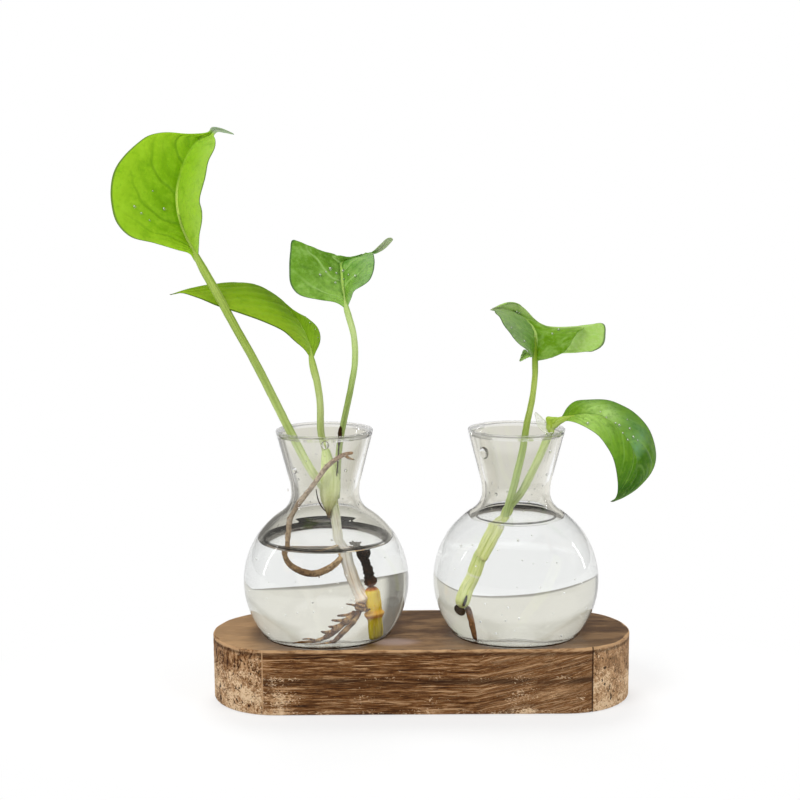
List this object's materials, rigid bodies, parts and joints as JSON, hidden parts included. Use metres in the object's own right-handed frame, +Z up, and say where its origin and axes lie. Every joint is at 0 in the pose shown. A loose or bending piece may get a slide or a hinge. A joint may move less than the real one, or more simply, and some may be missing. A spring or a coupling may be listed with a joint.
{
  "type": "propagation vase",
  "caption": "Round glass vases with flared necks, each seated in a shallow recess of a rounded wooden board and holding a rooted leafy cutting.",
  "frame": {"origin": "centre of the board's flat underside", "axes": "+Z up, +X along the board's length towards the right vase, -Y towards the viewer"},
  "size_m": [0.2541, 0.08, 0.2735],
  "materials": {
    "board": "satin top, rough sawn sides",
    "glass": "clear blown",
    "cane": "living plant, waxy",
    "dry_stub": "dry and ragged",
    "shoot": "living plant, pale",
    "stalk": "living plant, waxy",
    "leaf": "living leaf, glossy upper side",
    "root": "brown root",
    "sheath": "papery, translucent"
  },
  "bodies": {
    "base": {"board": "board"},
    "left_vase": {"left_glass": "glass"},
    "right_vase": {"right_glass": "glass"},
    "left_cutting": {"left_cane": "cane", "left_cane_dry_tip": "dry_stub", "left_shoot": "shoot", "left_tall_stalk": "stalk", "left_side_stalk": "stalk", "left_small_stalk": "stalk", "left_tall_leaf": "leaf", "left_side_leaf": "leaf", "left_small_leaf": "leaf", "left_root_loop": "root", "left_roots": "root"},
    "right_cutting": {"right_vine": "stalk", "right_top_stalk": "stalk", "right_drooping_stalk": "stalk", "right_top_leaf": "leaf", "right_drooping_leaf": "leaf", "right_sheath": "sheath", "right_root": "root"}
  },
  "joints": [
    {"name": "left_vase_lift", "type": "slide", "parent": "base", "child": "left_vase", "axis": [0, 0, 1], "range_m": [0, 0.06]},
    {"name": "right_vase_lift", "type": "slide", "parent": "base", "child": "right_vase", "axis": [0, 0, 1], "range_m": [0, 0.06]},
    {"name": "left_cutting_pull", "type": "slide", "parent": "left_vase", "child": "left_cutting", "axis": [-0.2571, 0, 0.9664], "range_m": [0, 0.11], "deforming": ["left_root_loop", "left_roots"]},
    {"name": "right_cutting_pull", "type": "slide", "parent": "right_vase", "child": "right_cutting", "axis": [0.303, 0, 0.953], "range_m": [0, 0.115]}
  ]
}
